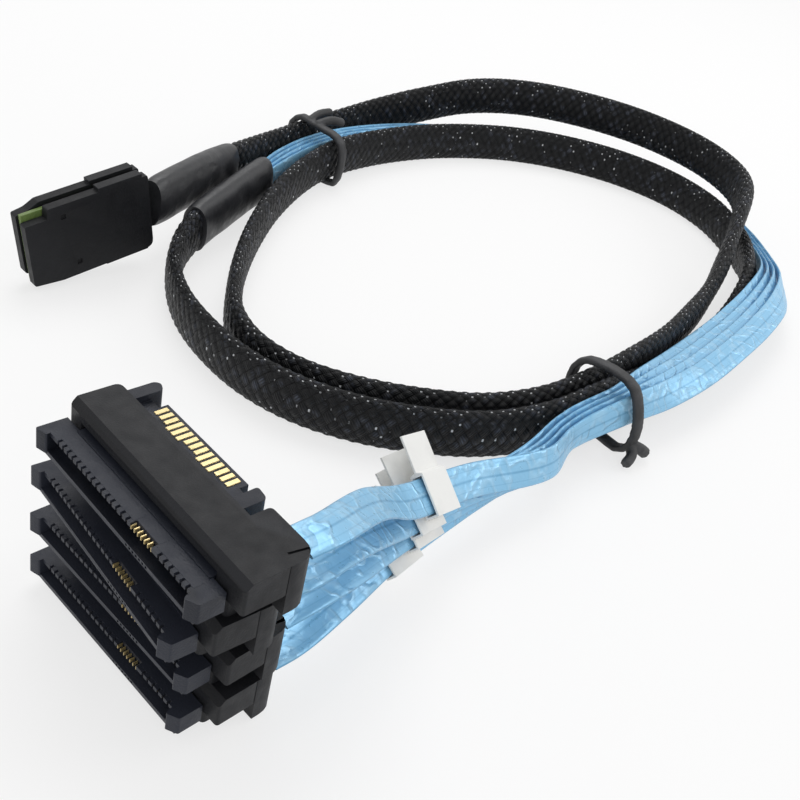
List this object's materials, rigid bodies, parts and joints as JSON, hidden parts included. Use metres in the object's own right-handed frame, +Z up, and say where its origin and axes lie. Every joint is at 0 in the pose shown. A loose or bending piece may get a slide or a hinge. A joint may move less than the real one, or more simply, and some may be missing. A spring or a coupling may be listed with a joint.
{
  "type": "internal data breakout cable",
  "caption": "Internal drive cable: a flat plug, a dark braided sleeve coiled in a loop, and blue ribbons fanning out to stacked drive connectors.",
  "frame": {"origin": "on the table, under the middle of the lowest connector", "axes": "+Z up, +X along the connectors towards their cable exits, +Y from their mouths towards the cable"},
  "size_m": [0.1629, 0.2544, 0.0397],
  "materials": {
    "moulding": "satin",
    "insulator": "satin",
    "braid": "woven",
    "shrink": "satin",
    "foil": "crinkled",
    "paper": "matte",
    "board": "satin",
    "tie": "matte",
    "spring": "brushed"
  },
  "bodies": {
    "root": {"overmould_1": "moulding", "receptacle_1": "insulator", "power_plug_1": "insulator", "adapter_board_1": "board", "ribbon_1": "foil", "label_1": "paper", "overmould_2": "moulding", "receptacle_2": "insulator", "power_plug_2": "insulator", "adapter_board_2": "board", "ribbon_2": "foil", "label_2": "paper", "overmould_3": "moulding", "receptacle_3": "insulator", "power_plug_3": "insulator", "adapter_board_3": "board", "ribbon_3": "foil", "label_3": "paper", "overmould_4": "moulding", "receptacle_4": "insulator", "power_plug_4": "insulator", "adapter_board_4": "board", "ribbon_4": "foil", "label_4": "paper", "tie_1": "tie", "tie_2": "tie", "plug_shell_near": "moulding", "plug_shell_far": "moulding", "paddle_card": "board", "plug_latch": "spring", "heat_shrink_plug": "shrink", "heat_shrink_split": "shrink", "braided_sleeve": "braid"}
  },
  "joints": []
}
